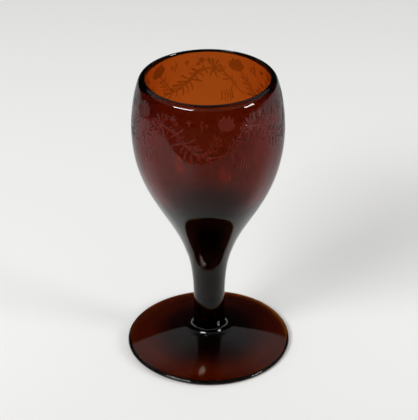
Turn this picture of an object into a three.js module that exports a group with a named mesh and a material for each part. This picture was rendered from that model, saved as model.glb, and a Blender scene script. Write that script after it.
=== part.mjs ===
import * as THREE from 'three';

// A blown goblet of dark amber glass. It stands on the XY plane with its axis on Z.
// Every length is in millimetres and every angle in degrees.

// Foot: a round disc with a hollow underneath. Its top rises to the stem, steepest near the edge
const FOOT_DIAMETER = 71.8;
const FOOT_EDGE_THICKNESS = 2.5;
const FOOT_EDGE_SLOPE = 13;
const FOOT_CROWN_SLOPE = 7.5;
const FOOT_FILLET_RADIUS = 3.5;
const FOOT_REST_CHAMFER = 2.8;
const FOOT_REST_WIDTH = 1.8;
const FOOT_KICK_DEPTH = 2.2;
const FOOT_KICK_SLOPE = 20;

// Stem: a solid post with a waist a little above the foot
const STEM_LENGTH = 39.3;
const STEM_BASE_DIAMETER = 14;
const STEM_WAIST_DIAMETER = 13.6;
const STEM_WAIST_RISE = 11.9;
const STEM_TOP_DIAMETER = 21.5;
const STEM_TOP_FLARE = 19;

// Bowl: a tall ovoid cup with a thick floor, drawn in at the mouth and ending in a rounded lip
const BOWL_HEIGHT = 80.3;
const BOWL_WIDEST_RISE = 57;
const BOWL_WIDEST_DIAMETER = 63.8;
const BOWL_WALL = 3;
const BOWL_FLOOR_THICKNESS = 12.3;
const LIP_THICKNESS = 2.8;
const LIP_CENTRE_DIAMETER = 54.2;
const LIP_TAPER = 18;

// Fullness of the curves: the length of a handle as a share of the curve's rise or reach
const FOOT_KICK_FULLNESS = 0.2;
const STEM_WAIST_FULLNESS = 0.65;
const STEM_TOP_FULLNESS = 0.15;
const BOWL_BASE_FULLNESS = 0.33;
const BOWL_BELLY_FULLNESS = 0.48;
const BOWL_SHOULDER_FULLNESS = 0.15;
const BOWL_NECK_FULLNESS = 0.38;
const ROUND_FULLNESS = 0.55;

// Fineness of the surfaces
const TURN_STEPS = 64;
const LONG_CURVE_STEPS = 13;
const SHORT_CURVE_STEPS = 6;
const SAME_POINT = 1e-6;

const GLASS = { color: 0x6b2a0c, roughness: 0.04, metalness: 0 };

// A point of an outline: its distance from the axis and its height
function point(radius, height) {
  return new THREE.Vector2(radius, height);
}

// A step of one unit up and towards the axis, leaning from the vertical by an angle
function leaning(degrees) {
  const angle = THREE.MathUtils.degToRad(degrees);
  return point(-Math.sin(angle), Math.cos(angle));
}

// A step of one unit towards the axis, climbing from the horizontal by an angle
function climbing(degrees) {
  const angle = THREE.MathUtils.degToRad(degrees);
  return point(-Math.cos(angle), Math.sin(angle));
}

// A step inwards by a given reach, climbing by an angle
function reaching(reach, degrees) {
  const step = climbing(degrees);
  return step.multiplyScalar(-reach / step.x);
}

// The points of a curve between two ends, each with its own handle
function curve(start, startHandle, endHandle, end, steps) {
  const leaving = start.clone().add(startHandle);
  const arriving = end.clone().add(endHandle);
  return new THREE.CubicBezierCurve(start, leaving, arriving, end).getPoints(steps);
}

// The points of a round arc about a centre
function arc(centre, radius, startDegrees, endDegrees, steps) {
  const start = THREE.MathUtils.degToRad(startDegrees);
  const end = THREE.MathUtils.degToRad(endDegrees);
  const clockwise = end < start;
  const round = new THREE.EllipseCurve(centre.x, centre.y, radius, radius, start, end, clockwise);
  return round.getPoints(steps);
}

// Joins stretches of outline and leaves out the point that two neighbours share
function outline(...stretches) {
  const points = [];
  for (const next of stretches.flat()) {
    const last = points[points.length - 1];
    if (!last || last.distanceTo(next) > SAME_POINT) points.push(next);
  }
  return points;
}

// Turns an outline about the axis and stands the solid upright
function turned(name, points) {
  const geometry = new THREE.LatheGeometry(points, TURN_STEPS);
  const mesh = new THREE.Mesh(geometry, new THREE.MeshStandardMaterial(GLASS));
  mesh.rotation.x = Math.PI / 2;
  mesh.name = name;
  return mesh;
}

// The bend of the foot's top: from its edge, over its middle, to the fillet that runs up the stem
function footSlope() {
  const edge = FOOT_EDGE_THICKNESS / 2;
  const start = point(FOOT_DIAMETER / 2 - edge, FOOT_EDGE_THICKNESS);
  const tuck = FOOT_FILLET_RADIUS * climbing(FOOT_CROWN_SLOPE).y;
  const endRadius = STEM_BASE_DIAMETER / 2 + FOOT_FILLET_RADIUS - tuck;
  const halfReach = (start.x - endRadius) / 2;
  const middle = start.clone().add(reaching(halfReach, FOOT_EDGE_SLOPE));
  const end = middle.clone().add(reaching(halfReach, FOOT_CROWN_SLOPE));
  return { start, middle, end };
}

// Heights of the joints above the table
const slope = footSlope();
const footTop = slope.end.y - FOOT_FILLET_RADIUS * climbing(FOOT_CROWN_SLOPE).x;
const stemTop = footTop + STEM_LENGTH;
const bowlTop = stemTop + BOWL_HEIGHT;

function makeFoot() {
  const rim = FOOT_DIAMETER / 2;
  const edge = FOOT_EDGE_THICKNESS / 2;
  const restOuter = rim - FOOT_REST_CHAMFER;
  const restInner = restOuter - FOOT_REST_WIDTH;
  const filletCentre = point(STEM_BASE_DIAMETER / 2 + FOOT_FILLET_RADIUS, footTop);

  const kickHandle = climbing(FOOT_KICK_SLOPE).multiplyScalar(restInner * FOOT_KICK_FULLNESS);
  const kick = curve(
    point(0, FOOT_KICK_DEPTH), point(restInner * ROUND_FULLNESS, 0),
    kickHandle, point(restInner, 0), SHORT_CURVE_STEPS);
  const underEdge = curve(
    point(restOuter, 0), point(FOOT_REST_CHAMFER * ROUND_FULLNESS, 0),
    point(0, -edge * ROUND_FULLNESS), point(rim, edge), SHORT_CURVE_STEPS);
  const overEdge = curve(
    point(rim, edge), point(0, edge * ROUND_FULLNESS),
    climbing(FOOT_EDGE_SLOPE).multiplyScalar(-edge * ROUND_FULLNESS), slope.start,
    SHORT_CURVE_STEPS);
  const top = new THREE.QuadraticBezierCurve(slope.start, slope.middle, slope.end);
  const fillet = arc(
    filletCentre, FOOT_FILLET_RADIUS, 270 - FOOT_CROWN_SLOPE, 180, SHORT_CURVE_STEPS);

  return turned('foot', outline(
    kick, underEdge, overEdge, top.getPoints(SHORT_CURVE_STEPS), fillet, [point(0, footTop)]));
}

function makeStem() {
  const base = point(STEM_BASE_DIAMETER / 2, footTop);
  const waist = point(STEM_WAIST_DIAMETER / 2, footTop + STEM_WAIST_RISE);
  const top = point(STEM_TOP_DIAMETER / 2, stemTop);
  const lower = STEM_WAIST_RISE * ROUND_FULLNESS;
  const upper = STEM_LENGTH - STEM_WAIST_RISE;
  const flare = leaning(-STEM_TOP_FLARE).multiplyScalar(-upper * STEM_TOP_FULLNESS);

  const ankle = curve(base, point(0, lower), point(0, -lower), waist, SHORT_CURVE_STEPS);
  const post = curve(waist, point(0, upper * STEM_WAIST_FULLNESS), flare, top, LONG_CURVE_STEPS);

  return turned('stem', outline([point(0, footTop)], ankle, post, [point(0, stemTop)]));
}

function makeBowl() {
  const widest = stemTop + BOWL_WIDEST_RISE;
  const neck = bowlTop - widest;
  const lip = LIP_THICKNESS / 2;
  const lipCentre = point(LIP_CENTRE_DIAMETER / 2, bowlTop - lip);
  const taper = leaning(LIP_TAPER);
  const outward = point(taper.y, -taper.x).multiplyScalar(lip);

  const base = point(STEM_TOP_DIAMETER / 2, stemTop);
  const outerBelly = point(BOWL_WIDEST_DIAMETER / 2, widest);
  const innerBelly = point(outerBelly.x - BOWL_WALL, widest);
  const outerNeck = lipCentre.clone().add(outward);
  const innerNeck = lipCentre.clone().sub(outward);
  const floor = point(0, stemTop + BOWL_FLOOR_THICKNESS);

  const baseHandle = leaning(-STEM_TOP_FLARE).multiplyScalar(BOWL_WIDEST_RISE * BOWL_BASE_FULLNESS);
  const bellyHandle = point(0, -BOWL_WIDEST_RISE * BOWL_BELLY_FULLNESS);
  const shoulderHandle = point(0, neck * BOWL_SHOULDER_FULLNESS);
  const neckHandle = taper.clone().multiplyScalar(-neck * BOWL_NECK_FULLNESS);
  const wellHandle = point(0, (floor.y - widest) * ROUND_FULLNESS);
  const floorHandle = point(innerBelly.x * ROUND_FULLNESS, 0);

  const outside = curve(base, baseHandle, bellyHandle, outerBelly, LONG_CURVE_STEPS);
  const shoulder = curve(outerBelly, shoulderHandle, neckHandle, outerNeck, SHORT_CURVE_STEPS);
  const outerLip = arc(lipCentre, lip, LIP_TAPER, 90, SHORT_CURVE_STEPS);
  const innerLip = arc(lipCentre, lip, 90, 180 + LIP_TAPER, SHORT_CURVE_STEPS);
  const throat = curve(innerNeck, neckHandle, shoulderHandle, innerBelly, SHORT_CURVE_STEPS);
  const well = curve(innerBelly, wellHandle, floorHandle, floor, LONG_CURVE_STEPS);

  return turned('bowl', outline(
    [point(0, stemTop)], outside, shoulder, outerLip, innerLip, throat, well));
}

const goblet = new THREE.Group();
goblet.add(makeFoot(), makeStem(), makeBowl());

export default goblet;
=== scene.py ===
"""A blown goblet of dark amber glass with a garland of flowers cut into its bowl.

The packed foot, stem and bowl set the place and size of every piece. Lengths are in metres, the
axis of the glass is Z, and the front, where the camera stands, is towards -Y.
"""

import math
import random

import bmesh
import bpy
import numpy as np
from bpy.props import (
    FloatProperty,
    FloatVectorProperty,
    IntProperty,
    PointerProperty,
)
from mathutils import Matrix, Vector
from mathutils.geometry import interpolate_bezier


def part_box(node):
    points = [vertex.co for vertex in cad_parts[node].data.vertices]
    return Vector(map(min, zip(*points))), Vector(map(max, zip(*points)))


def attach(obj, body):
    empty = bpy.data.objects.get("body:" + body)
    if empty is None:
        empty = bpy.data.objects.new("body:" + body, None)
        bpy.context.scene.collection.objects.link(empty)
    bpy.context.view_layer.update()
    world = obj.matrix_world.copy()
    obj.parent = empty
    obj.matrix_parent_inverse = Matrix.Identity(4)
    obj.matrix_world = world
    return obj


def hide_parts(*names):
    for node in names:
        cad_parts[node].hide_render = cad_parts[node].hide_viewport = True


bl_info = {
    "name": "Engraved goblet",
    "version": (1, 0, 0),
    "blender": (4, 5, 0),
    "location": "3D View > Sidebar > Goblet",
    "description": "Builds a stemmed glass of amber glass with a cut garland, and its stage",
    "category": "Add Mesh",
}

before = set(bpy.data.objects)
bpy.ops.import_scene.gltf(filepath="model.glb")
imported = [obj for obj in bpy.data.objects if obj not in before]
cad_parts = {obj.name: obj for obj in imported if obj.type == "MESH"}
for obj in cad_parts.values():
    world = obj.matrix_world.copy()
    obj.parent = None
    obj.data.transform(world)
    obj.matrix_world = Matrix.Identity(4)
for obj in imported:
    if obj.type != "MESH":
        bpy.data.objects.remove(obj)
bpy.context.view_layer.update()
FOOT_WIDTH = 2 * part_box("foot")[1].x
FOOT_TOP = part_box("stem")[0].z
STEM_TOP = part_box("stem")[1].z
BOWL_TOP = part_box("bowl")[1].z
BELLY_WIDTH = 2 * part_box("bowl")[1].x

BODY = "root"
MM = 0.001
FULL_TURN = 2 * math.pi
CUT_ATTRIBUTE = "cut"

# Gaps that keep the meshes apart, and the slack with which places are compared
JOINT_GAP = 0.01 * MM
FLOOR_GAP = 0.05 * MM
SAME_PLACE = 1e-7
SLACK = 1e-6

# Fullness of the curves: the length of a handle as a share of the curve's rise or reach
ROUND_FULLNESS = 0.55
KICK_FULLNESS = 0.2
STEM_WAIST_FULLNESS = 0.65
STEM_TOP_FULLNESS = 0.15
BOWL_BASE_FULLNESS = 0.33
BELLY_FULLNESS = 0.48
SHOULDER_FULLNESS = 0.15
NECK_FULLNESS = 0.38
LIP_RISE_FULLNESS = 0.7
LIP_REACH_FULLNESS = 0.5
THROAT_FULLNESS = 0.45

# Fineness of the meshes: steps around, and steps of the curves
FOOT_STEPS = 192
STEM_STEPS = 128
BOWL_STEPS = 256
LONG_STEPS = 160
WELL_STEPS = 120
POST_STEPS = 80
MIDDLE_STEPS = 60
ANKLE_STEPS = 40
EDGE_STEPS = 14


# Properties


def number(label, about, value, **options):
    """A number of 0 or more that a user may change."""
    return FloatProperty(name=label, description=about, default=value, min=0, **options)


def length(label, about, value):
    """A size in metres that a user may change."""
    return number(label, about, value, unit="LENGTH", precision=5)


def ratio(label, about, value):
    """A small ratio of two sizes that a user may change."""
    return number(label, about, value, precision=6)


def angle(label, about, degrees):
    """An angle that a user may change, given here in degrees."""
    return FloatProperty(
        name=label, description=about, default=math.radians(degrees), subtype="ANGLE"
    )


def share(label, about, value):
    """A share from 0 to 1."""
    return number(label, about, value, max=1, subtype="FACTOR")


def colour(label, about, value):
    """A colour in linear light."""
    return FloatVectorProperty(
        name=label, description=about, default=value, min=0, max=1, size=3, subtype="COLOR"
    )


class GobletShape(bpy.types.PropertyGroup):
    """Sizes of the foot, the stem and the bowl."""

    foot_width: length("Foot width", "Diameter of the foot", FOOT_WIDTH)
    foot_edge: length("Foot edge", "Thickness of the foot at its edge", 2.5 * MM)
    foot_edge_slope: angle("Foot edge slope", "Climb of the foot's top near the edge", 13)
    foot_crown_slope: angle("Foot crown slope", "Climb of the foot's top near the stem", 7.5)
    foot_fillet: length("Foot fillet", "Radius of the bend from foot to stem", 3.5 * MM)
    foot_chamfer: length("Foot chamfer", "Reach of the rounding under the edge", 2.8 * MM)
    foot_rest: length("Foot rest", "Width of the flat ring that stands on the table", 1.8 * MM)
    foot_kick: length("Foot kick", "Depth of the hollow under the foot", 2.2 * MM)
    foot_kick_slope: angle("Foot kick slope", "Climb of the hollow near the resting ring", 20)
    pontil_width: length("Pontil width", "Diameter of the ground spot under the foot", 15 * MM)
    pontil_depth: length("Pontil depth", "Depth of the ground spot under the foot", 0.5 * MM)
    foot_warp: length("Foot warp", "How far the edge of the foot is out of true", 0.3 * MM)
    off_centre: length("Off centre", "How far stem and bowl stand off the foot's centre", 0.38 * MM)

    stem_base: length("Stem base", "Diameter of the stem at the foot", 14 * MM)
    stem_waist: length("Stem waist", "Smallest diameter of the stem", 13.6 * MM)
    stem_waist_rise: length("Stem waist rise", "Height of the waist above the foot", 11.9 * MM)
    stem_top: length("Stem top", "Diameter of the stem under the bowl", 21.5 * MM)
    stem_flare: angle("Stem flare", "Lean of the stem's side under the bowl", 19)

    bowl_width: length("Bowl width", "Largest diameter of the bowl", BELLY_WIDTH)
    bowl_widest: length("Bowl widest", "Height of the widest place above the stem", 57 * MM)
    bowl_wall: length("Bowl wall", "Thickness of the wall at the widest place", 3 * MM)
    bowl_floor: length("Bowl floor", "Thickness of the glass under the drink", 12.3 * MM)
    lip_thickness: length("Lip thickness", "Thickness of the rounded lip", 2.8 * MM)
    lip_width: length("Lip width", "Diameter of the circle in the middle of the lip", 54.2 * MM)
    lip_taper: angle("Lip taper", "Lean of the wall towards the axis at the lip", 18)
    lip_round: length("Lip round", "Radius of the lip's inner edge", 0.16 * MM)
    lip_bevel: length("Lip bevel", "How far the lip's outer rounding reaches down", 1.2 * MM)
    lip_sink: length("Lip sink", "How far the lip sank when it was melted round", 0.204 * MM)
    lip_tip: ratio("Lip tip", "How steeply the lip falls away to the back", 0.000136)
    squeeze: ratio("Squeeze", "How much the bowl is drawn in, for each metre of reach", 0.00006)
    bow: length("Bow", "How far the lower bowl stands off the axis", 0.28 * MM)


class GarlandCut(bpy.types.PropertyGroup):
    """The band of flowers and leaves that is cut into the bowl."""

    repeats: IntProperty(
        name="Repeats", description="How often the garland repeats around", default=5, min=1
    )
    low: length("Band low", "Height of the lower limit of the fine band", 102.2 * MM)
    high: length("Band high", "Height of the upper limit of the fine band", 127.6 * MM)
    depth: length("Depth", "Depth of the cuts", 0.15 * MM)
    softness: length("Softness", "Width over which a cut's side falls", 0.22 * MM)
    boldness: share("Boldness", "How much wider the cuts on the back are", 0.35)
    drift: angle("Drift", "How far the back of the garland has slipped around", 3.4)
    seed: IntProperty(name="Seed", description="Changes the small slips of the hand", default=7)


class GlassLook(bpy.types.PropertyGroup):
    """Colour and finish of the amber glass."""

    tint_light: colour("Light tint", "Tint of the glass where it is thin", (1.0, 0.86, 0.76))
    # Painted shade: the darker tint of the bowl's front, the side towards the camera
    front_shade_tint: colour("Front shade tint", "Tint of the bowl's denser front", (0.51, 0.85, 0.45))
    tint_dark: colour("Dark tint", "Tint of the glass where it is dense", (0.14, 0.22, 0.10))
    frost_tint: colour("Frost tint", "Colour of the matte cuts", (0.94, 0.86, 0.44))
    # Painted shade: the darker tint of the cuts on the back of the bowl
    back_cut_shade_tint: colour("Back cut shade tint", "Colour of the cuts on the back", (0.35, 0.23, 0.07))
    depth_colour: colour("Depth colour", "Colour that thick glass keeps", (0.829, 0.53, 0.118))
    foot_colour: colour("Foot colour", "Colour that the foot's glass keeps", (0.835, 0.63, 0.15))
    absorption: number("Absorption", "How fast the glass swallows light, for each metre", 1700)
    bend: number("Refraction", "Index of refraction", 1.5)
    polish: share("Polish", "Roughness of the clean surface", 0.012)
    rubbed: share("Rubbed", "Roughness of the worn surface", 0.09)
    frost: share("Frost", "Roughness of the matte cuts", 0.355)


class StageLook(bpy.types.PropertyGroup):
    """Floor, lamps and camera."""

    floor_colour: colour("Floor colour", "Colour of the floor", (0.80, 0.80, 0.79))
    # Painted shade: the floor is a little darker in front and far behind
    near_shade_colour: colour("Near shade colour", "Colour of the floor in front", (0.675, 0.675, 0.67))
    far_shade_colour: colour("Far shade colour", "Colour of the floor far behind", (0.70, 0.70, 0.695))
    # What glass mirrors of the floor is a painted reflection, darker than the floor itself: painted
    # light on the left and just behind, painted shade on the right and in front
    gloss_left: colour("Gloss left", "Mirrored floor on the left", (0.41, 0.41, 0.40))
    gloss_right: colour("Gloss right", "Mirrored floor on the right", (0.278, 0.272, 0.255))
    gloss_front: colour("Gloss front", "Mirrored floor at its near edge", (0.165, 0.165, 0.16))
    gloss_back: colour("Gloss back", "Mirrored floor just behind", (0.74, 0.74, 0.73))
    gloss_far: colour("Gloss far", "Mirrored floor far behind", (0.42, 0.42, 0.415))
    ambient: number("Ambient", "Strength of the light from all around", 0.60)
    room_low: share("Room low", "Light of the dark room below the lamps", 0.012)
    room_edge: share("Room edge", "Light of the pale wall above the dark room", 0.29)
    room_high: share("Room high", "Light of the ceiling", 0.04)
    key_power: number("Key lamp", "Power of the lamp on the left", 18, unit="POWER")
    side_power: number("Side lamp", "Power of the lamp on the right", 10.5, unit="POWER")
    camera_place: FloatVectorProperty(
        name="Camera place",
        description="Where the camera stands",
        default=(0.00038, -0.5925, 0.4149),
        size=3,
        subtype="TRANSLATION",
        precision=5,
    )
    camera_pitch: angle("Camera pitch", "Turn of the camera up from straight down", 59.563)
    camera_roll: angle("Camera roll", "Turn of the camera about its own view", -0.36)
    camera_lens: number("Lens", "Focal length in millimetres", 137.88, unit="CAMERA")


# Outlines


def point(radius, height):
    """A point of an outline: its distance from the axis and its height."""
    return Vector((radius, height))


def leaning(lean):
    """A step of one unit up and towards the axis, leaning from the vertical."""
    return point(-math.sin(lean), math.cos(lean))


def climbing(climb):
    """A step of one unit towards the axis, climbing from the horizontal."""
    return point(-math.cos(climb), math.sin(climb))


def reaching(reach, climb):
    """A step inwards by a given reach, climbing on the way."""
    step = climbing(climb)
    return step * (-reach / step.x)


def curve(start, start_handle, end_handle, end, steps):
    """The points of a curve between two ends, each with its own handle."""
    return interpolate_bezier(start, start + start_handle, end + end_handle, end, steps + 1)


def bend(start, middle, end, steps):
    """The points of a bend that starts and ends towards its middle point."""
    handle = 2 / 3
    return curve(start, (middle - start) * handle, (middle - end) * handle, end, steps)


def arc(centre, radius, start, end, steps):
    """The points of a round arc about a centre, between two angles."""
    turns = (start + (end - start) * step / steps for step in range(steps + 1))
    return [centre + radius * point(math.cos(turn), math.sin(turn)) for turn in turns]


def outline(*stretches):
    """Joins stretches of outline and leaves out the point that two neighbours share."""
    points = []
    for stretch in stretches:
        for new in stretch:
            if not points or (points[-1] - new).length > SAME_PLACE:
                points.append(new)
    return points


def evenly(points, spacing):
    """Goes along the same line again in even steps of about the given length."""
    line = np.array(points)
    steps = np.hypot(*np.diff(line, axis=0).T)
    travelled = np.concatenate([[0], np.cumsum(steps)])
    count = max(1, round(travelled[-1] / spacing))
    stops = np.linspace(0, travelled[-1], count + 1)
    radii = np.interp(stops, travelled, line[:, 0])
    heights = np.interp(stops, travelled, line[:, 1])
    return [point(radius, height) for radius, height in zip(radii, heights)]


def part_between(points, low, high):
    """The part of a rising line between two heights."""
    line = np.array(points)
    inside = [point(r, z) for r, z in line if low < z < high]
    ends = [point(np.interp(z, line[:, 1], line[:, 0]), z) for z in (low, high)]
    return [ends[0], *inside, ends[1]]


# Meshes


def turned(points, steps):
    """Turns an outline about the axis into a closed mesh."""
    mesh = bmesh.new()
    verts = [mesh.verts.new((p.x, 0, p.y)) for p in points]
    edges = [mesh.edges.new(pair) for pair in zip(verts, verts[1:])]
    bmesh.ops.spin(
        mesh,
        geom=verts + edges,
        axis=(0, 0, 1),
        cent=(0, 0, 0),
        angle=FULL_TURN,
        steps=steps,
        use_merge=True,
    )
    bmesh.ops.remove_doubles(mesh, verts=mesh.verts, dist=SAME_PLACE)
    bmesh.ops.recalc_face_normals(mesh, faces=mesh.faces)
    return mesh


def vertex_places(mesh):
    """The places of a mesh's vertices as rows of numbers."""
    mesh.verts.ensure_lookup_table()
    return np.array([vert.co for vert in mesh.verts])


def move_vertices(mesh, places):
    """Puts the vertices of a mesh at new places."""
    for vert, place in zip(mesh.verts, places):
        vert.co = place


def smooth_ramp(values, start, end):
    """Rises from 0 at the start to 1 at the end, with soft ends."""
    share_done = np.clip((values - start) / (end - start), 0, 1)
    return share_done * share_done * (3 - 2 * share_done)


def clear_joints(data, look):
    """Gives the flat faces of the hot joints a glass that does not bend what passes them."""
    level = 0.99
    data.materials.append(fused_glass(look))
    for face in data.polygons:
        nearest = min(abs(face.center.z - height) for height in (FOOT_TOP, STEM_TOP))
        if nearest < 2 * JOINT_GAP and abs(face.normal.z) > level:
            face.material_index = 1


def in_scene(name, data):
    """Makes an object of a mesh, lamp or camera, and puts it in the scene."""
    made = bpy.data.objects.new(name, data)
    bpy.context.scene.collection.objects.link(made)
    return made


def mesh_data(name, mesh):
    """Turns a finished bmesh into mesh data."""
    data = bpy.data.meshes.new(name)
    mesh.to_mesh(data)
    mesh.free()
    return data


def glass_piece(name, mesh, node, material, look):
    """Makes an object of a finished mesh, in the place of a packed node."""
    seam_angle = math.radians(50)
    data = mesh_data(name, mesh)
    data.shade_smooth()
    data.set_sharp_from_angle(angle=seam_angle)
    data.materials.append(material)
    clear_joints(data, look)
    piece = in_scene(name, data)
    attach(piece, BODY)
    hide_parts(node)
    return piece


# Node helpers


def put_node(tree, kind, inputs=None, **options):
    """Adds a node, sets its options, and fills or links its inputs."""
    node_spacing = 220
    node = tree.nodes.new(kind)
    node.location = (node_spacing * len(tree.nodes), 0)
    for option, value in options.items():
        setattr(node, option, value)
    for socket, value in (inputs or {}).items():
        if isinstance(value, bpy.types.NodeSocket):
            tree.links.new(value, node.inputs[socket])
        else:
            node.inputs[socket].default_value = value
    return node


def maths(tree, operation, first, second=0.0, third=0.0):
    """Adds arithmetic on up to three values, and gives its result."""
    node = put_node(
        tree, "ShaderNodeMath", {0: first, 1: second, 2: third}, operation=operation
    )
    return node.outputs[0]


def coordinate(tree, vector, axis):
    """One part of a vector: X, Y or Z."""
    return put_node(tree, "ShaderNodeSeparateXYZ", {"Vector": vector}).outputs[axis]


def vector_length(tree, vector):
    """The length of a vector."""
    return put_node(
        tree, "ShaderNodeVectorMath", {0: vector}, operation="LENGTH"
    ).outputs["Value"]


def object_place(tree):
    """The place of a point in its object's own coordinates."""
    return put_node(tree, "ShaderNodeTexCoord").outputs["Object"]


def ranged(tree, value, low, high, start=0.0, end=1.0):
    """Maps a value from one range to another, with soft ends, and gives the result."""
    limits = {"From Min": low, "From Max": high, "To Min": start, "To Max": end}
    node = put_node(
        tree,
        "ShaderNodeMapRange",
        {"Value": value, **limits},
        interpolation_type="SMOOTHSTEP",
    )
    return node.outputs["Result"]


def mixed(tree, factor, first, second):
    """Mixes two colours, and gives the result. The colour sockets are known by their number."""
    node = put_node(
        tree, "ShaderNodeMix", {0: factor, 6: first, 7: second}, data_type="RGBA"
    )
    return node.outputs[2]


# Node groups that the glasses share


def new_group(name, inputs, outputs):
    """Makes a shader group with named sockets, and gives it with its two end nodes."""
    tree = bpy.data.node_groups.new(name, "ShaderNodeTree")
    kinds = {"value": "NodeSocketFloat", "vector": "NodeSocketVector", "colour": "NodeSocketColor"}
    for label, kind in inputs:
        tree.interface.new_socket(label, in_out="INPUT", socket_type=kinds[kind])
    for label, kind in outputs:
        tree.interface.new_socket(label, in_out="OUTPUT", socket_type=kinds[kind])
    start = put_node(tree, "NodeGroupInput")
    end = put_node(tree, "NodeGroupOutput")
    return tree, start.outputs, end.inputs


def stretched(tree, vector, stretch):
    """Squeezes a vector's height, so that a pattern on it runs around or along the glass."""
    parts = put_node(tree, "ShaderNodeSeparateXYZ", {"Vector": vector}).outputs
    height = maths(tree, "MULTIPLY", parts["Z"], stretch)
    joined = put_node(
        tree, "ShaderNodeCombineXYZ", {"X": parts["X"], "Y": parts["Y"], "Z": height}
    )
    return joined.outputs[0]


def noise(tree, vector, scale, detail=2.0, distortion=0.0):
    """A soft random pattern from 0 to 1."""
    node = put_node(
        tree,
        "ShaderNodeTexNoise",
        {"Vector": vector, "Scale": scale, "Detail": detail, "Distortion": distortion},
    )
    return node.outputs["Fac"]


def cord_group():
    """The soft waves and finer cords that the pull of the iron leaves in blown glass."""
    tree, given, made = new_group(
        "Blown glass cords",
        [("Vector", "vector"), ("Wave Scale", "value"), ("Cord Scale", "value"),
         ("Stretch", "value"), ("Cord Share", "value")],
        [("Height", "value")],
    )
    wave = noise(tree, given["Vector"], given["Wave Scale"], detail=1.0)
    drawn = stretched(tree, given["Vector"], given["Stretch"])
    cord = noise(tree, drawn, given["Cord Scale"], distortion=0.4)
    height = maths(tree, "MULTIPLY_ADD", cord, given["Cord Share"], wave)
    tree.links.new(height, made["Height"])
    return tree


def wear_group():
    """Fine scratches and rubbed places, as two masks."""
    tree, given, made = new_group(
        "Rubbed glass",
        [("Vector", "vector"), ("Scratch Scale", "value"), ("Scratch Width", "value"),
         ("Rub Scale", "value")],
        [("Scratches", "value"), ("Rubbed", "value")],
    )
    turns = (0.5, 2.1)
    tilted_axis = (0.4, 0.7, 0.6)
    scratch_stretch = 0.06
    scratched_where = (0.52, 0.66)
    rubbed_where = (0.45, 0.75)
    lines = []
    for turn in turns:
        turned_vector = put_node(
            tree,
            "ShaderNodeVectorRotate",
            {"Vector": given["Vector"], "Angle": turn, "Axis": tilted_axis},
        ).outputs[0]
        drawn = stretched(tree, turned_vector, scratch_stretch)
        field = noise(tree, drawn, given["Scratch Scale"], detail=1.0, distortion=0.3)
        away = maths(tree, "ABSOLUTE", maths(tree, "SUBTRACT", field, 0.5))
        lines.append(maths(tree, "LESS_THAN", away, given["Scratch Width"]))
    both = maths(tree, "MAXIMUM", *lines)
    patches = noise(tree, given["Vector"], given["Rub Scale"], detail=3.0)
    here = ranged(tree, patches, *scratched_where)
    tree.links.new(maths(tree, "MULTIPLY", both, here), made["Scratches"])
    tree.links.new(ranged(tree, patches, *rubbed_where), made["Rubbed"])
    return tree


def streak_group():
    """Colour in streaks, which is denser below a height, and by a share on the front.

    A bearing is Y divided by the distance from the axis: -1 is the front and 1 is the back.
    """
    streak_strength = 0.24
    # Where the bowl's front, and the near half under its lip, take the darker front colour: painted
    # shade
    shaded_front_bearing = (-0.55, -0.97)
    shaded_neck_bearing = (0.2, -0.2)
    shaded_neck_height = (0.117, 0.124)
    tree, given, made = new_group(
        "Amber streaks and front shade",
        [("Vector", "vector"), ("Scale", "value"), ("Stretch", "value"),
         ("Light Height", "value"), ("Dark Height", "value"),
         ("Light", "colour"), ("Dark", "colour"), ("Front", "colour"),
         ("Front Shade Share", "value")],
        [("Color", "colour")],
    )
    drawn = stretched(tree, given["Vector"], given["Stretch"])
    field = noise(tree, drawn, given["Scale"], detail=3.0, distortion=0.6)
    parts = put_node(tree, "ShaderNodeSeparateXYZ", {"Vector": given["Vector"]}).outputs
    level = put_node(tree, "ShaderNodeCombineXYZ", {"X": parts["X"], "Y": parts["Y"]}).outputs[0]
    dense = ranged(tree, parts["Z"], given["Light Height"], given["Dark Height"])
    streaks = maths(tree, "MULTIPLY_ADD", field, streak_strength, -streak_strength / 2)
    part = maths(tree, "MAXIMUM", maths(tree, "ADD", dense, streaks), 0.0)
    bearing = maths(tree, "DIVIDE", parts["Y"], vector_length(tree, level))
    belly = ranged(tree, bearing, *shaded_front_bearing)
    neck = maths(
        tree,
        "MULTIPLY",
        ranged(tree, bearing, *shaded_neck_bearing),
        ranged(tree, parts["Z"], *shaded_neck_height),
    )
    front = maths(tree, "MAXIMUM", belly, neck)
    side = maths(tree, "MULTIPLY", front, given["Front Shade Share"])
    thin = mixed(tree, side, given["Light"], given["Front"])
    tint = mixed(tree, maths(tree, "MINIMUM", part, 1.0), thin, given["Dark"])
    tree.links.new(tint, made["Color"])
    return tree


def frost_group():
    """The grain of a cut that a turning wheel left matte."""
    tree, given, made = new_group(
        "Wheel frost",
        [("Vector", "vector"), ("Cut", "value"), ("Grain Scale", "value")],
        [("Frost", "value"), ("Height", "value")],
    )
    matte_from, matte_to = 0.12, 0.66
    grain_share, least = 0.3, 0.82
    grain = noise(tree, given["Vector"], given["Grain Scale"])
    edge = ranged(tree, given["Cut"], matte_from, matte_to)
    grainy = maths(tree, "MULTIPLY_ADD", grain, grain_share, least)
    tree.links.new(maths(tree, "MULTIPLY", edge, grainy), made["Frost"])
    tree.links.new(maths(tree, "MULTIPLY", grain, edge), made["Height"])
    return tree


def group_node(tree, name, build, inputs):
    """Places the named group in a material, with its own values. The first use builds it."""
    group = bpy.data.node_groups.get(name) or build()
    return put_node(tree, "ShaderNodeGroup", inputs, node_tree=group).outputs


# Materials


def opaque(tint):
    """A colour with full strength, as a colour socket wants it."""
    return (*tint, 1.0)


def cleared_tree(owner):
    """Turns on the nodes of a material or a world, and gives its emptied tree."""
    owner.use_nodes = True
    owner.node_tree.nodes.clear()
    return owner.node_tree


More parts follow.
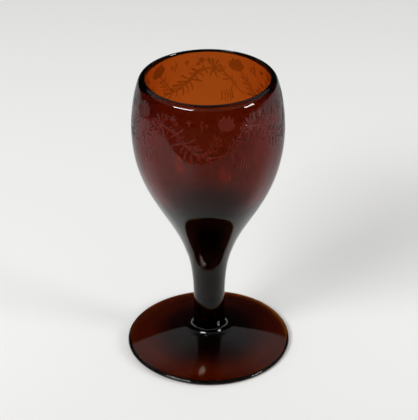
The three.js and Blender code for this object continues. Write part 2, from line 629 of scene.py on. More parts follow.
def put_surface(tree, inputs, **ends):
    """Adds the shader of a surface and the output node, with what else that node takes."""
    shader = put_node(tree, "ShaderNodeBsdfPrincipled", inputs)
    put_node(tree, "ShaderNodeOutputMaterial", {"Surface": shader.outputs["BSDF"], **ends})


def glass_body(tree, depth_colour, density):
    """The colour that the light takes on its way through the glass."""
    body = put_node(
        tree, "ShaderNodeVolumeAbsorption", {"Color": opaque(depth_colour), "Density": density}
    )
    return body.outputs["Volume"]


def fused_glass(look):
    """The flat faces of a hot joint: glass meets glass, so no light is bent or thrown back."""
    name = "Fused amber glass"
    if name in bpy.data.materials:
        return bpy.data.materials[name]
    material = bpy.data.materials.new(name)
    tree = cleared_tree(material)
    put_surface(
        tree,
        {
            "Base Color": (1, 1, 1, 1),
            "Roughness": 0.0,
            "IOR": 1.0,
            "Transmission Weight": 1.0,
        },
        Volume=glass_body(tree, look.depth_colour, look.absorption),
    )
    return material


def amber_glass(name, look, body, waves, cords, streaks, wear, marks):
    """Dark amber glass. The given values set its body, waves, colour streaks, wear and marks."""
    grain_height = 0.04 * MM
    material = bpy.data.materials.new(name)
    tree = cleared_tree(material)
    place = object_place(tree)

    wave = group_node(tree, "Blown glass cords", cord_group, {"Vector": place, **cords})
    worn = group_node(tree, "Rubbed glass", wear_group, {"Vector": place, **wear})
    tints = {
        "Light": opaque(look.tint_light),
        "Dark": opaque(look.tint_dark),
        # The front colour is painted shade on the side towards the camera
        "Front": opaque(look.front_shade_tint),
    }
    streak = group_node(
        tree, "Amber streaks and front shade", streak_group, {"Vector": place, **tints, **streaks}
    )

    clean = maths(tree, "MULTIPLY_ADD", worn["Rubbed"], look.polish, look.polish)
    roughness = maths(tree, "MULTIPLY_ADD", worn["Scratches"], look.rubbed, clean)
    tint = streak["Color"]
    bump_inputs = {"Height": wave["Height"], "Strength": 1.0, "Distance": waves}
    normal = put_node(tree, "ShaderNodeBump", bump_inputs).outputs["Normal"]
    if marks is not None:
        frost, grain, frost_tint = marks(tree, place, look)
        matte = maths(tree, "MULTIPLY", frost, look.frost)
        roughness = maths(tree, "MAXIMUM", roughness, matte)
        tint = mixed(tree, frost, tint, frost_tint)
        grain_inputs = {"Height": grain, "Normal": normal, "Distance": grain_height}
        normal = put_node(tree, "ShaderNodeBump", grain_inputs).outputs["Normal"]

    put_surface(
        tree,
        {
            "Base Color": tint,
            "Roughness": roughness,
            "IOR": look.bend,
            "Transmission Weight": 1.0,
            "Normal": normal,
        },
        Volume=glass_body(tree, body["Color"], body["Density"]),
    )
    return material


def wheel_marks(tree, place, look):
    """The matte cuts of the garland, which hold old grime on the back of the bowl."""
    painted_shade_from, clean = 0.008, -0.008
    strength = put_node(tree, "ShaderNodeAttribute", attribute_name=CUT_ATTRIBUTE)
    outputs = group_node(
        tree,
        "Wheel frost",
        frost_group,
        {"Vector": place, "Cut": strength.outputs["Fac"], "Grain Scale": 5200.0},
    )
    # Cuts on the back take the darker tint, which is painted shade; cuts in front keep the frost
    # tint
    forward = ranged(tree, coordinate(tree, place, "Y"), painted_shade_from, clean)
    tint = mixed(tree, forward, opaque(look.back_cut_shade_tint), opaque(look.frost_tint))
    return outputs["Frost"], outputs["Height"], tint


def rest_marks(tree, place, look):
    """The scuffed ring on which the foot stands."""
    clear_height, scuffed_height = 0.6 * MM, 0.1 * MM
    scuff_strength = 0.3
    height = coordinate(tree, place, "Z")
    touching = ranged(tree, height, clear_height, scuffed_height)
    outputs = group_node(
        tree,
        "Wheel frost",
        frost_group,
        {"Vector": place, "Cut": touching, "Grain Scale": 900.0},
    )
    scuffed = maths(tree, "MULTIPLY", outputs["Frost"], scuff_strength)
    return scuffed, outputs["Height"], opaque(look.frost_tint)


# The garland. It is drawn in millimetres around the bowl and above the table, in degrees and in
# millimetres of width. Headings turn from the right upwards.

SWING_WIDTH = 39.3

# How the width of a leaf, a needle and a petal swells along it, as shares of the full width
LEAF_SWELL = (0.30, 0.40, 0.56, 0.80, 1.0, 0.98, 0.66)
NEEDLE_SWELL = (0.5, 0.9, 1.0, 0.85, 0.45)
PETAL_SWELL = (0.60, 0.88, 1.0, 1.0, 0.88, 0.62)

# Tables of leaves. Each row gives around, up, heading, reach, turn and width
LEAVES_ABOVE = (
    (-17.0, 120.0, 20, 2.6, 40, 0.40),
    (-14.1, 118.6, 4, 4.2, 42, 0.85),
    (-11.8, 117.0, 8, 2.6, 20, 0.50),
    (-10.2, 114.4, 28, 5.7, 8, 0.62),
    (-9.6, 114.2, -16, 6.0, 36, 0.72),
    (-8.1, 113.6, -30, 6.3, 56, 1.0),
    (-7.3, 112.2, -38, 8.4, 66, 0.52),
    (-6.3, 110.9, -30, 9.6, 46, 0.80),
)
LEAVES_BELOW = (
    (-16.2, 119.3, -142, 2.8, 30, 0.44),
    (-13.4, 117.9, -152, 3.4, 26, 0.50),
    (-12.2, 116.4, -128, 2.6, 30, 0.40),
    (-10.6, 114.4, -170, 4.7, 14, 0.66),
    (-9.4, 113.8, -136, 4.8, 44, 0.50),
    (-7.9, 112.7, -126, 5.0, 40, 0.46),
    (-6.2, 111.3, -112, 4.6, 40, 0.50),
    (-4.2, 110.2, -86, 3.4, 30, 0.42),
    (-1.6, 109.4, -58, 3.8, 34, 0.54),
)
STALK_LEAVES = (
    (2.4, 115.6, 84, 4.0, 16, 0.36),
    (0.9, 113.6, 92, 2.6, -14, 0.34),
    (4.2, 116.2, 20, 2.2, 30, 0.36),
    (2.6, 114.0, 6, 3.0, 26, 0.38),
    (0.6, 111.7, 0, 3.4, 26, 0.40),
)
RISING_LEAVES = (
    (9.6, 113.4, -62, 3.6, -20, 0.40),
    (11.6, 115.6, -34, 3.4, 30, 0.44),
    (12.4, 116.5, 4, 2.6, 30, 0.38),
    (10.6, 114.7, 104, 2.8, -24, 0.38),
    (8.8, 112.6, 96, 2.4, -24, 0.36),
    (14.4, 118.8, 80, 4.4, -26, 0.42),
    (14.2, 118.6, 112, 2.8, -20, 0.36),
    (14.8, 119.2, -24, 2.6, 24, 0.46),
)


def sweep(start, heading, reach, turn):
    """A line that leaves its start in a direction and turns evenly along its way."""
    steps = 12
    around, up = start
    line = [(around, up)]
    for step in range(steps):
        way = math.radians(heading + turn * (step + 0.5) / steps)
        around += math.cos(way) * reach / steps
        up += math.sin(way) * reach / steps
        line.append((around, up))
    return line


def flowing(places):
    """A smooth line through some places."""
    steps = 8
    knots = [Vector(place) for place in places]
    line = [tuple(knots[0])]
    for index, (start, end) in enumerate(zip(knots, knots[1:])):
        before = knots[max(index - 1, 0)]
        after = knots[min(index + 2, len(knots) - 1)]
        leave = start + (end - before) / 6
        arrive = end - (after - start) / 6
        line += [tuple(p) for p in interpolate_bezier(start, leave, arrive, end, steps + 1)[1:]]
    return line


def stroke(line, widths):
    """A cut along a line, with widths spread evenly from its start to its end."""
    stops = np.linspace(0, 1, len(line))
    halves = np.interp(stops, np.linspace(0, 1, len(widths)), widths) / 2
    return np.column_stack([np.array(line), halves])


def shaped(start, heading, reach, turn, width, swell):
    """A leaf, needle or petal: a short sweep with its own run of widths."""
    return stroke(sweep(start, heading, reach, turn), [width * part for part in swell])


def leaf(start, heading, reach, turn, width):
    """A leaf that swells to a round tip."""
    return shaped(start, heading, reach, turn, width, LEAF_SWELL)


def needle(start, heading, reach, turn, width):
    """A slender leaf that ends in a point."""
    return shaped(start, heading, reach, turn, width, NEEDLE_SWELL)


def from_table(kind, table, slip, wobble, stretch=0):
    """The leaves or needles of a table, each turned and stretched a little by the hand."""
    strokes = []
    for around, up, heading, reach, turn, width in table:
        heading += slip(wobble)
        if stretch:
            reach *= 1 + slip(stretch)
        strokes.append(kind((around, up), heading, reach, turn, width))
    return strokes


def rosette(centre, slip, petals, reach, width):
    """A small round flower of short petals."""
    spacing = 360 / petals
    wobble, turn = 12, 40
    return [
        needle(centre, index * spacing + slip(wobble), reach, turn, width)
        for index in range(petals)
    ]


def vine_strokes():
    """The vine that swings from one crest to the next, drawn as two cuts side by side."""
    falling = flowing([(-20.8, 120.4), (-17.7, 119.8), (-13.8, 118.3), (-11.5, 115.9),
                       (-9.6, 113.9), (-6.1, 111.4), (-3.3, 109.9), (0.7, 109.3)])
    rising = flowing([(0.7, 109.3), (4.4, 109.2), (7.4, 110.8), (10.4, 114.4), (13.6, 117.8),
                      (15.6, 119.8), (18.5, 120.4)])
    aside = 0.6
    middle = slice(10, 40)
    beside = [(around + aside, up + aside) for around, up in falling[middle]]
    return [
        stroke(falling, (0.5, 0.66, 0.66, 0.46, 0.34)),
        stroke(beside, (0.2, 0.4, 0.36, 0.2)),
        stroke(rising, (0.24, 0.3, 0.4, 0.44)),
    ]


def vine_leaves(slip):
    """The long leaves that curl up from the falling vine, and the slender ones under it."""
    return [
        *from_table(leaf, LEAVES_ABOVE, slip, wobble=5, stretch=0.06),
        *from_table(needle, LEAVES_BELOW, slip, wobble=5, stretch=0.08),
    ]


def blossom_stalks(slip):
    """The two stalks that climb to the blossom, with slender leaves along them."""
    main = flowing([(-3.7, 109.6), (-0.9, 111.2), (1.5, 114.4), (4.4, 118.2), (6.4, 121.0)])
    second = flowing([(-2.4, 109.8), (0.6, 111.7), (3.0, 114.6), (4.9, 117.3)])
    return [
        stroke(main, (0.40, 0.34, 0.32)),
        stroke(second, (0.32, 0.28, 0.22)),
        *from_table(needle, STALK_LEAVES, slip, wobble=6),
    ]


def blossom(slip):
    """An open flower seen from its side: six broad petals above a round cup."""
    cup = (7.3, 121.0)
    lean = 76
    spread = 1.1
    curl = -0.55
    petals = ((-66, 3.9, 2.1), (-35, 4.5, 2.1), (-8, 4.9, 2.1), (24, 4.8, 2.1), (50, 4.3, 2.0),
              (74, 3.7, 1.9))
    strokes = []
    for fan, reach, width in petals:
        heading = lean + fan * spread + slip(3)
        strokes.append(shaped(cup, heading, reach, fan * curl, width, PETAL_SWELL))
    strokes.append(stroke(sweep((5.8, 121.2), -2, 3.0, 0), (1.4, 2.0, 1.4)))
    return strokes


def hanging_fern(slip):
    """Slender leaves that hang from the rising vine like a comb, and a few more along it."""
    teeth = 5
    longest = 2
    strokes = []
    for index in range(teeth):
        start = (11.3 + 1.1 * index, 110.2 - 0.4 * index)
        reach = 6.2 - 0.5 * abs(index - longest) + slip(0.3)
        strokes.append(needle(start, -128 + 3 * index + slip(3), reach, 56, 0.42))
    return strokes + from_table(needle, RISING_LEAVES, slip, wobble=6)


def crest_leaves(slip):
    """The tuft and the few hanging leaves where two swings of the vine meet."""
    crest = (-20.6, 120.5)
    under_crest = (-20.3, 120.2)
    tuft = ((150, 3.6, 0.6), (118, 4.4, 0.66), (88, 4.6, 0.7), (56, 3.8, 0.62))
    hanging = ((-140, 4.2), (-108, 5.2), (-76, 4.6))
    strokes = []
    for heading, reach, width in tuft:
        turn = (90 - heading) * -0.35
        strokes.append(leaf(crest, heading + slip(4), reach, turn, width))
    for heading, reach in hanging:
        turn = (-90 - heading) * -0.3
        strokes.append(needle(under_crest, heading + slip(4), reach, turn, 0.62))
    strokes += rosette((-15.0, 124.3), slip, petals=8, reach=1.9, width=0.42)
    strokes += rosette((-13.4, 122.4), slip, petals=5, reach=1.1, width=0.36)
    return strokes


def small_sprigs(slip):
    """A small fan flower and two bud sprigs in the open ground above the vine."""
    fan = (-8.0, 123.2)
    strokes = [stroke(sweep((-7.9, 121.7), 92, 1.6, 0), (0.28, 0.28))]
    for heading in (34, 62, 90, 118, 146):
        strokes.append(needle(fan, heading + slip(4), 1.5, 0, 0.36))
    strokes.append(stroke(sweep((-2.6, 120.2), 88, 3.6, 8), (0.3, 0.26)))
    strokes.append(needle((-2.5, 123.7), 92, 1.2, 0, 0.55))
    for up, heading in ((121.2, 46), (122.3, 134)):
        strokes.append(needle((-2.55, up), heading + slip(6), 1.3, 10, 0.36))
    strokes.append(stroke(sweep((-0.7, 121.2), 84, 1.6, -20), (0.28, 0.26)))
    for heading in (30, 84, 138):
        strokes.append(needle((-0.6, 122.6), heading, 1.0, 0, 0.36))
    strokes += rosette((20.9, 124.4), slip, petals=5, reach=1.4, width=0.40)
    return strokes


def garland(slip):
    """All cuts of one swing of the garland."""
    return [
        *vine_strokes(),
        *vine_leaves(slip),
        *blossom_stalks(slip),
        *blossom(slip),
        *hanging_fern(slip),
        *crest_leaves(slip),
        *small_sprigs(slip),
    ]


def cut_strength(around, up, strokes, softness):
    """How deep each place is cut, from 0 on the polished glass to 1 in the middle of a cut."""
    strength = np.zeros(len(around))
    for line in strokes:
        reach = line[:, 2].max() + softness
        near = np.flatnonzero(
            (around > line[:, 0].min() - reach) & (around < line[:, 0].max() + reach)
            & (up > line[:, 1].min() - reach) & (up < line[:, 1].max() + reach)
        )
        if not len(near):
            continue
        place = np.column_stack([around[near], up[near]])
        best = np.full(len(near), -np.inf)
        for start, end in zip(line, line[1:]):
            way = end[:2] - start[:2]
            part = np.clip((place - start[:2]) @ way / (way @ way), 0, 1)
            away = np.linalg.norm(place - start[:2] - part[:, None] * way, axis=1)
            half = start[2] + (end[2] - start[2]) * part
            best = np.maximum(best, half - away)
        depth = smooth_ramp(best, -softness / 2, softness / 2)
        strength[near] = np.maximum(strength[near], depth)
    return strength


# Pieces


def joint_face(radius, height):
    """A flat joint face, from the axis to its edge."""
    return [point(0, height), point(radius / 2, height), point(radius, height)]


def foot_outline(shape):
    """The foot from its middle underneath, round its edge and over its top to the joint."""
    rim = shape.foot_width / 2
    half_edge = shape.foot_edge / 2
    rest_outer = rim - shape.foot_chamfer
    rest_inner = rest_outer - shape.foot_rest
    joint = shape.stem_base / 2
    fine, broad = 0.5 * MM, 1.0 * MM
    spot_steps, over_steps, fillet_steps = 16, 10, 12

    kick = curve(
        point(0, shape.foot_kick), point(rest_inner * ROUND_FULLNESS, 0),
        climbing(shape.foot_kick_slope) * (rest_inner * KICK_FULLNESS), point(rest_inner, 0),
        MIDDLE_STEPS)
    spot_edge = shape.pontil_width / 2
    ring = [p for p in kick if p.x > spot_edge]
    spot_top = shape.foot_kick + shape.pontil_depth
    middle_handle = point(spot_edge * 0.6, 0)
    edge_handle = point(-spot_edge * 0.2, shape.pontil_depth * 0.7)
    spot = curve(
        point(0, spot_top), middle_handle, edge_handle, point(spot_edge, ring[0].y), spot_steps)
    rest = [point(rest_inner, 0), point(rest_outer, 0)]
    edge_rise = half_edge * ROUND_FULLNESS
    under_edge = curve(
        point(rest_outer, 0), point(shape.foot_chamfer * ROUND_FULLNESS, 0),
        point(0, -edge_rise), point(rim, half_edge), EDGE_STEPS)

    slope_start = point(rim - half_edge, shape.foot_edge)
    over_edge = curve(
        point(rim, half_edge), point(0, edge_rise),
        climbing(shape.foot_edge_slope) * -edge_rise, slope_start, over_steps)
    tuck = shape.foot_fillet * math.sin(shape.foot_crown_slope)
    slope_reach = (slope_start.x - joint - shape.foot_fillet + tuck) / 2
    slope_middle = slope_start + reaching(slope_reach, shape.foot_edge_slope)
    slope_end = slope_middle + reaching(slope_reach, shape.foot_crown_slope)
    slope = bend(slope_start, slope_middle, slope_end, MIDDLE_STEPS)

    fillet_centre = point(joint + shape.foot_fillet, FOOT_TOP)
    downward = math.radians(270)
    fillet = arc(
        fillet_centre, shape.foot_fillet, downward - shape.foot_crown_slope, math.pi,
        fillet_steps)
    return outline(
        spot, evenly(ring, broad), evenly(rest, broad), under_edge, over_edge,
        evenly(slope, broad), evenly(fillet, fine), reversed(joint_face(joint, FOOT_TOP)))


def stem_outline(shape):
    """The stem from the middle of its lower joint up its side to its upper joint."""
    base = point(shape.stem_base / 2, FOOT_TOP + JOINT_GAP)
    waist = point(shape.stem_waist / 2, FOOT_TOP + shape.stem_waist_rise)
    top = point(shape.stem_top / 2, STEM_TOP)
    spacing = 0.9 * MM
    lower = shape.stem_waist_rise * ROUND_FULLNESS
    upper = top.y - waist.y
    flare = leaning(-shape.stem_flare) * (-upper * STEM_TOP_FULLNESS)
    ankle = curve(base, point(0, lower), point(0, -lower), waist, ANKLE_STEPS)
    post = curve(waist, point(0, upper * STEM_WAIST_FULLNESS), flare, top, POST_STEPS)
    side = evenly(outline(ankle, post), spacing)
    return outline(
        joint_face(base.x, base.y), side, reversed(joint_face(top.x, top.y)))


def bowl_outline(shape, garland_cut):
    """The bowl from its lower joint up the outside, over the lip and down to its floor."""
    widest = STEM_TOP + shape.bowl_widest
    neck = BOWL_TOP - widest
    lip = shape.lip_thickness / 2
    finest, fine, broad, broadest = 0.32 * MM, 0.5 * MM, 1.6 * MM, 2.0 * MM
    lip_centre = point(shape.lip_width / 2, BOWL_TOP - lip)
    taper = leaning(shape.lip_taper)
    outward = point(taper.y, -taper.x) * lip

    base = point(shape.stem_top / 2, STEM_TOP + JOINT_GAP)
    outer_belly = point(shape.bowl_width / 2, widest)
    inner_belly = point(outer_belly.x - shape.bowl_wall, widest)
    outer_neck = lip_centre + outward - taper * shape.lip_bevel
    inner_neck = lip_centre - outward
    floor = point(0, STEM_TOP + shape.bowl_floor)

    base_handle = leaning(-shape.stem_flare) * (shape.bowl_widest * BOWL_BASE_FULLNESS)
    belly_handle = point(0, -shape.bowl_widest * BELLY_FULLNESS)
    shoulder_handle = point(0, neck * SHOULDER_FULLNESS)
    neck_handle = taper * (-neck * NECK_FULLNESS)
    well_handle = point(0, (floor.y - widest) * ROUND_FULLNESS)
    floor_handle = point(inner_belly.x * ROUND_FULLNESS, 0)

    outside = outline(
        curve(base, base_handle, belly_handle, outer_belly, LONG_STEPS),
        curve(outer_belly, shoulder_handle, neck_handle, outer_neck, POST_STEPS))
    low, high = garland_cut.low, garland_cut.high
    below = evenly(part_between(outside, base.y, low), broad)
    band = evenly(part_between(outside, low, high), finest)
    above = evenly(part_between(outside, high, outer_neck.y), fine)

    # The lip: broadly rounded on the outside, with its crown close to the inner edge
    crown = point(inner_neck.x + shape.lip_round, BOWL_TOP)
    outer_rise = taper * (crown.y - outer_neck.y) * LIP_RISE_FULLNESS
    outer_reach = point((outer_neck.x - crown.x) * LIP_REACH_FULLNESS, 0)
    inner_reach = point(-shape.lip_round * ROUND_FULLNESS, 0)
    inner_rise = taper * (crown.y - inner_neck.y) * THROAT_FULLNESS
    inner_steps = 8
    over_lip = outline(
        curve(outer_neck, outer_rise, outer_reach, crown, EDGE_STEPS),
        curve(crown, inner_reach, inner_rise, inner_neck, inner_steps))

    throat = curve(inner_neck, neck_handle, shoulder_handle, inner_belly, MIDDLE_STEPS)
    well = curve(inner_belly, well_handle, floor_handle, floor, WELL_STEPS)
    inside = evenly(outline(throat, well), broadest)
    return outline(joint_face(base.x, base.y), below, band, above, over_lip, inside)


def warp_foot(mesh, shape):
    """Bends the edge of the foot a little out of true, and sets its middle under the stem.

    The reach is a share of the way from the axis to the rim.
    """
    middle_to_edge = (0.32, 0.9)
    crown_to_rim = (0.3, 1)
    places = vertex_places(mesh)
    turn = np.arctan2(places[:, 1], places[:, 0])
    rim = shape.foot_width / 2
    reach = np.hypot(places[:, 0], places[:, 1]) / rim
    places[:, 0] += shape.off_centre * (1 - smooth_ramp(reach, *middle_to_edge))
    lifted = np.sin(2 * turn) * smooth_ramp(reach, *crown_to_rim) * shape.foot_warp
    places[:, 2] = np.maximum(places[:, 2] + lifted, 0)
    move_vertices(mesh, places)


def bow_out(places, shape):
    """Sets stem and bowl off the foot's centre, and bows the lower bowl out by a hair."""
    bow_height, bow_reach = 72 * MM, 24 * MM
    away = np.abs(places[:, 2] - bow_height) / bow_reach
    places[:, 0] += shape.off_centre + shape.bow * (1 - smooth_ramp(away, 0, 1))


def make_foot(shape, look):
    """The round foot, as a piece of its own."""
    density_share = 0.92
    mesh = turned(foot_outline(shape), FOOT_STEPS)
    warp_foot(mesh, shape)
    material = amber_glass(
        "Foot amber glass",
        look,
        body={"Color": look.foot_colour, "Density": look.absorption * density_share},
        waves=0.04 * MM,
        cords={"Wave Scale": 55.0, "Cord Scale": 160.0, "Stretch": 1.0, "Cord Share": 0.18},
        streaks={"Scale": 60.0, "Stretch": 1.0, "Light Height": 0.0034, "Dark Height": 0.0064,
                 "Front Shade Share": 0.0},
        wear={"Scratch Scale": 130.0, "Scratch Width": 0.004, "Rub Scale": 45.0},
        marks=rest_marks,
    )
    return glass_piece("foot_glass", mesh, "foot", material, look)


def make_stem(shape, look):
    """The solid stem, as a piece of its own."""
    mesh = turned(stem_outline(shape), STEM_STEPS)
    places = vertex_places(mesh)
    bow_out(places, shape)
    move_vertices(mesh, places)
    material = amber_glass(
        "Stem amber glass",
        look,
        body={"Color": look.depth_colour, "Density": look.absorption},
        waves=0.02 * MM,
        cords={"Wave Scale": 70.0, "Cord Scale": 260.0, "Stretch": 0.12, "Cord Share": 0.1},
        streaks={"Scale": 120.0, "Stretch": 0.15, "Light Height": 0.10, "Dark Height": 0.05,
                 "Front Shade Share": 0.0},
        wear={"Scratch Scale": 170.0, "Scratch Width": 0.003, "Rub Scale": 60.0},
        marks=None,
    )
    return glass_piece("stem_glass", mesh, "stem", material, look)


def refine_band(mesh, garland_cut):
    """Gives the band of the garland three times the steps around that the rest has."""
    low, high = garland_cut.low - SLACK, garland_cut.high + SLACK
    least_reach = 27.5 * MM
    added_steps = 2
    rings = []
    for edge in mesh.edges:
        first, second = edge.verts
        level = abs(first.co.z - second.co.z) < SLACK
        outside = min(first.co.xy.length, second.co.xy.length) > least_reach
        if level and outside and low < first.co.z < high and low < second.co.z < high:
            rings.append(edge)
    bmesh.ops.subdivide_edges(mesh, edges=rings, cuts=added_steps, use_grid_fill=True)


def true_up_band(places, outer, shape, garland_cut):
    """Sets the band's vertices on the round again, because they were added on straight edges."""
    joint_points = 2
    line = np.array(outer)
    rising = line[joint_points : int(np.argmax(line[:, 1]))]
    reach = np.hypot(places[:, 0], places[:, 1])
    wanted = np.interp(places[:, 2], rising[:, 1], rising[:, 0])
    band = (places[:, 2] > garland_cut.low - SLACK) & (places[:, 2] < garland_cut.high + SLACK)
    band &= reach > wanted - shape.bowl_wall / 2
    places[band, :2] *= (wanted[band] / reach[band])[:, None]
    return band


def cut_garland(places, band, garland_cut):
    """Sinks the strokes of the garland into the band, and gives each vertex its strength."""
    turn = np.arctan2(places[band, 0], -places[band, 1])
    turn += garland_cut.drift * (1 - np.cos(turn)) / 2
    up = places[band, 2] / MM
    swing = FULL_TURN / garland_cut.repeats
    cut = np.zeros(len(turn))
    for repeat in range(garland_cut.repeats):
        dice = random.Random(garland_cut.seed + repeat)
        bold = 1 + garland_cut.boldness * (1 - math.cos(repeat * swing)) / 2
        strokes = [
            line * (1, 1, bold)
            for line in garland(lambda reach, dice=dice: dice.uniform(-reach, reach))
        ]
        offset = (turn - repeat * swing + math.pi) % FULL_TURN - math.pi
        around = offset * SWING_WIDTH / swing
        cut = np.maximum(cut, cut_strength(around, up, strokes, garland_cut.softness / MM))
    strength = np.zeros(len(places))
    strength[band] = cut
    inward = places[band, :2] / np.hypot(places[band, 0], places[band, 1])[:, None]
    places[band, :2] -= inward * (cut * garland_cut.depth)[:, None]
    return strength


def settle_bowl(places, shape):
    """Draws the bowl in unevenly, by less than 0.004 mm, and lets its lip sink a little.

    Heights are shares of the bowl's own height.
    """
    base_to_belly = (0.1, 0.6)
    neck_to_lip = (0.75, 1)
    oval_share, three_sided_share = 0.5, 0.3
    turn = np.arctan2(places[:, 1], places[:, 0])
    height = (places[:, 2] - STEM_TOP) / (BOWL_TOP - STEM_TOP)
    oval = oval_share * np.sin(2 * turn + 0.6)
    three_sided = three_sided_share * np.sin(3 * turn + 5 * height)
    pull = (1 + oval + three_sided) * smooth_ramp(height, *base_to_belly)
    places[:, :2] *= (1 - shape.squeeze * pull)[:, None]
    sunk = shape.lip_sink + shape.lip_tip * places[:, 1]
    places[:, 2] -= sunk * smooth_ramp(height, *neck_to_lip)


def make_bowl(shape, garland_cut, look):
    """The bowl with its cut garland, as a piece of its own."""
    outer = bowl_outline(shape, garland_cut)
    mesh = turned(outer, BOWL_STEPS)
    refine_band(mesh, garland_cut)
    places = vertex_places(mesh)
    band = true_up_band(places, outer, shape, garland_cut)
    strength = cut_garland(places, band, garland_cut)
    settle_bowl(places, shape)
    bow_out(places, shape)
    move_vertices(mesh, places)
    material = amber_glass(
        "Bowl amber glass",
        look,
        body={"Color": look.depth_colour, "Density": look.absorption},
        waves=0.03 * MM,
        cords={"Wave Scale": 48.0, "Cord Scale": 140.0, "Stretch": 1.6, "Cord Share": 0.22},
        # The bowl's front takes the full share of the painted shade
        streaks={"Scale": 55.0, "Stretch": 1.8, "Light Height": 0.0730, "Dark Height": 0.062,
                 "Front Shade Share": 1.0},
        wear={"Scratch Scale": 150.0, "Scratch Width": 0.003, "Rub Scale": 50.0},
        marks=wheel_marks,
    )
    piece = glass_piece("bowl_glass", mesh, "bowl", material, look)
    attribute = piece.data.attributes.new(CUT_ATTRIBUTE, "FLOAT", "POINT")
    attribute.data.foreach_set("value", strength.astype(np.float32))
    return piece


# Stage


def painted_floor_reflection(tree, stage, place, parts):
    """The floor as the glass mirrors it: it ends in front and on the left, and is uneven.

    Each pair of places in metres says where one colour goes over into the next.
    """
    left_to_right = (-0.06, 0.04)
    slant = -0.28
    middle_to_front = (-0.07, -0.20)
    near_to_far = (0.06, 0.22)
    front_to_back = (-0.05, 0.05)
    front_end = (-0.228, -0.244)
    front_end_slant = 0.3
    slant_starts = -0.12
    left_end = (-0.42, -0.58)
    # Painted reflection: dark where the floor ends
    dark_room = (0.01, 0.01, 0.01, 1)

    across = maths(tree, "MULTIPLY_ADD", parts["Y"], slant, parts["X"])
    forward = ranged(tree, parts["Y"], *middle_to_front)
    right = mixed(tree, forward, opaque(stage.gloss_right), opaque(stage.gloss_front))
    rightward = ranged(tree, across, *left_to_right)
    front = mixed(tree, rightward, opaque(stage.gloss_left), right)
    away = ranged(tree, vector_length(tree, place), *near_to_far)
    back = mixed(tree, away, opaque(stage.gloss_back), opaque(stage.gloss_far))
    lit = mixed(tree, ranged(tree, parts["Y"], *front_to_back), front, back)

    lean = maths(tree, "MAXIMUM", parts["X"], slant_starts)
    ahead = maths(tree, "MULTIPLY_ADD", lean, front_end_slant, parts["Y"])
    past_front = ranged(tree, ahead, *front_end)
    past_left = ranged(tree, parts["X"], *left_end)
    ended = maths(tree, "MAXIMUM", past_front, past_left)
    return mixed(tree, ended, lit, dark_room)


def make_floor(stage):
    """A plain pale floor, a little greyer in front and far behind. Glass mirrors it unevenly."""
    half_size = 3.0
    middle_to_front = (0.02, -0.16)
    middle_to_back = (0.2, 0.6)
    grain_scale = 900.0
    grain_strength = 0.03
    matte = 0.85

    mesh = bmesh.new()
    bmesh.ops.create_grid(mesh, x_segments=1, y_segments=1, size=half_size)
    bmesh.ops.translate(mesh, verts=mesh.verts, vec=(0, 0, -FLOOR_GAP))
    floor = in_scene("floor", mesh_data("floor", mesh))

    material = bpy.data.materials.new("Pale floor")
    tree = cleared_tree(material)
    place = object_place(tree)
    parts = put_node(tree, "ShaderNodeSeparateXYZ", {"Vector": place}).outputs
    # Painted shade on the floor, in front and far behind
    front = ranged(tree, parts["Y"], *middle_to_front)
    near = mixed(tree, front, opaque(stage.floor_colour), opaque(stage.near_shade_colour))
    back = ranged(tree, parts["Y"], *middle_to_back)
    base = mixed(tree, back, near, opaque(stage.far_shade_colour))
    grain = noise(tree, place, grain_scale, detail=3.0)
    speck = maths(tree, "MULTIPLY_ADD", grain, grain_strength, 1 - grain_strength / 2)
    grained = put_node(
        tree, "ShaderNodeVectorMath", {0: base, "Scale": speck}, operation="SCALE"
    ).outputs[0]
    # Glossy rays see the painted reflection of the floor instead of its own colour
    path = put_node(tree, "ShaderNodeLightPath").outputs
    mirrored = maths(tree, "SUBTRACT", 1.0, path["Is Transmission Ray"])
    gloss = maths(tree, "MULTIPLY", path["Is Glossy Ray"], mirrored)
    shown = mixed(tree, gloss, grained, painted_floor_reflection(tree, stage, place, parts))
    put_surface(tree, {"Base Color": shown, "Roughness": matte})
    floor.data.materials.append(material)


def make_room(stage):
    """Even pale light from all around. Glass alone sees that the room is dark below the lamps."""
    wall_edge = (32.5, 37)
    ceiling_edge = (44, 62)
    world = bpy.data.worlds.new("Studio")
    bpy.context.scene.world = world
    tree = cleared_tree(world)
    direction = put_node(tree, "ShaderNodeTexCoord").outputs["Generated"]
    rise = coordinate(tree, direction, "Z")
    wall = [math.sin(math.radians(degrees)) for degrees in wall_edge]
    ceiling = [math.sin(math.radians(degrees)) for degrees in ceiling_edge]
    lit = ranged(tree, rise, *ceiling, stage.room_edge, stage.room_high)
    above = ranged(tree, rise, *wall, stage.room_low, 1.0)
    room = maths(tree, "MINIMUM", above, lit)
    path = put_node(tree, "ShaderNodeLightPath").outputs
    by_glass = maths(tree, "MAXIMUM", path["Is Glossy Ray"], path["Is Transmission Ray"])
    even = maths(tree, "MULTIPLY", maths(tree, "SUBTRACT", 1.0, by_glass), stage.ambient)
    strength = maths(tree, "MULTIPLY_ADD", by_glass, room, even)
    light = put_node(
        tree, "ShaderNodeBackground", {"Color": (1, 1, 1, 1), "Strength": strength}
    )
    put_node(tree, "ShaderNodeOutputWorld", {"Surface": light.outputs["Background"]})


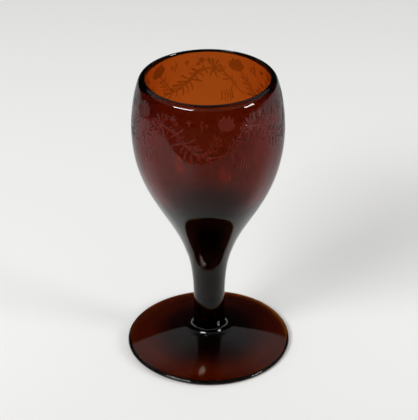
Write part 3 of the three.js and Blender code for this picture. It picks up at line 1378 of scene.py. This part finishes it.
def make_lamp(name, bearing, rise, width, height, power):
    """A soft lamp, aimed at the bowl from a bearing to the right of the camera's side.

    The bearing, the rise and the lamp's width and height as the glass sees them are in degrees.
    """
    distance = 1.6
    target = Vector((0, 0, 0.09))
    bearing, rise = math.radians(bearing), math.radians(rise)
    back = Vector((
        math.sin(bearing) * math.cos(rise), -math.cos(bearing) * math.cos(rise), math.sin(rise)
    ))
    lamp = bpy.data.lights.new(name, "AREA")
    lamp.shape = "RECTANGLE"
    lamp.size = 2 * distance * math.tan(math.radians(width / 2))
    lamp.size_y = 2 * distance * math.tan(math.radians(height / 2))
    lamp.energy = power
    placed = in_scene(name, lamp)
    placed.location = target + back * distance
    placed.rotation_euler = back.to_track_quat("Z", "Y").to_euler()


def make_camera(stage):
    """The camera, which looks down at the goblet from the front."""
    data = bpy.data.cameras.new("camera")
    data.sensor_width = 36
    data.lens = stage.camera_lens
    data.shift_x = 0.0008
    data.clip_start = 0.01
    pitch = Matrix.Rotation(stage.camera_pitch, 3, "X")
    roll = Matrix.Rotation(stage.camera_roll, 3, "Z")
    camera = in_scene("camera", data)
    camera.location = stage.camera_place
    camera.rotation_euler = (pitch @ roll).to_euler()
    bpy.context.scene.camera = camera


# Operators and panel


class GOBLET_OT_foot(bpy.types.Operator):
    """Builds the round foot."""

    bl_idname = "goblet.foot"
    bl_label = "Foot"

    def execute(self, context):
        make_foot(context.scene.goblet_shape, context.scene.goblet_glass)
        return {"FINISHED"}


class GOBLET_OT_stem(bpy.types.Operator):
    """Builds the solid stem."""

    bl_idname = "goblet.stem"
    bl_label = "Stem"

    def execute(self, context):
        make_stem(context.scene.goblet_shape, context.scene.goblet_glass)
        return {"FINISHED"}


class GOBLET_OT_bowl(bpy.types.Operator):
    """Builds the bowl with its cut garland."""

    bl_idname = "goblet.bowl"
    bl_label = "Bowl"

    def execute(self, context):
        scene = context.scene
        make_bowl(scene.goblet_shape, scene.goblet_garland, scene.goblet_glass)
        return {"FINISHED"}


class GOBLET_OT_stage(bpy.types.Operator):
    """Builds the floor, the light and the camera."""

    bl_idname = "goblet.stage"
    bl_label = "Stage"

    def execute(self, context):
        stage = context.scene.goblet_stage
        make_floor(stage)
        make_room(stage)
        make_lamp(
            "key_lamp", bearing=-45, rise=37, width=29, height=14, power=stage.key_power
        )
        make_lamp(
            "side_lamp", bearing=67.5, rise=18, width=17, height=14, power=stage.side_power
        )
        make_camera(stage)
        return {"FINISHED"}


class GOBLET_PT_panel(bpy.types.Panel):
    """Lists the pieces of the goblet and the values that shape them."""

    bl_label = "Goblet"
    bl_idname = "GOBLET_PT_panel"
    bl_space_type = "VIEW_3D"
    bl_region_type = "UI"
    bl_category = "Goblet"

    def draw(self, context):
        for operator in OPERATORS:
            self.layout.operator(operator.bl_idname)
        for label, group in SETTINGS.items():
            column = self.layout.column(heading=group.__doc__)
            values = getattr(context.scene, label)
            for name in group.__annotations__:
                column.prop(values, name)


OPERATORS = (GOBLET_OT_foot, GOBLET_OT_stem, GOBLET_OT_bowl, GOBLET_OT_stage)
SETTINGS = {
    "goblet_shape": GobletShape,
    "goblet_garland": GarlandCut,
    "goblet_glass": GlassLook,
    "goblet_stage": StageLook,
}


def register():
    """Adds the settings, the operators and the panel to Blender."""
    for label, group in SETTINGS.items():
        bpy.utils.register_class(group)
        setattr(bpy.types.Scene, label, PointerProperty(type=group))
    for operator in OPERATORS:
        bpy.utils.register_class(operator)
    bpy.utils.register_class(GOBLET_PT_panel)


def unregister():
    """Takes the settings, the operators and the panel out of Blender."""
    bpy.utils.unregister_class(GOBLET_PT_panel)
    for operator in reversed(OPERATORS):
        bpy.utils.unregister_class(operator)
    for label, group in reversed(SETTINGS.items()):
        delattr(bpy.types.Scene, label)
        bpy.utils.unregister_class(group)


def main():
    """Builds the goblet and its stage, and writes down its size."""
    register()
    bpy.ops.goblet.foot()
    bpy.ops.goblet.stem()
    bpy.ops.goblet.bowl()
    bpy.ops.goblet.stage()
    bpy.context.scene.view_settings.view_transform = "Standard"
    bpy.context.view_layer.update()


if __name__ == "__main__":
    main()
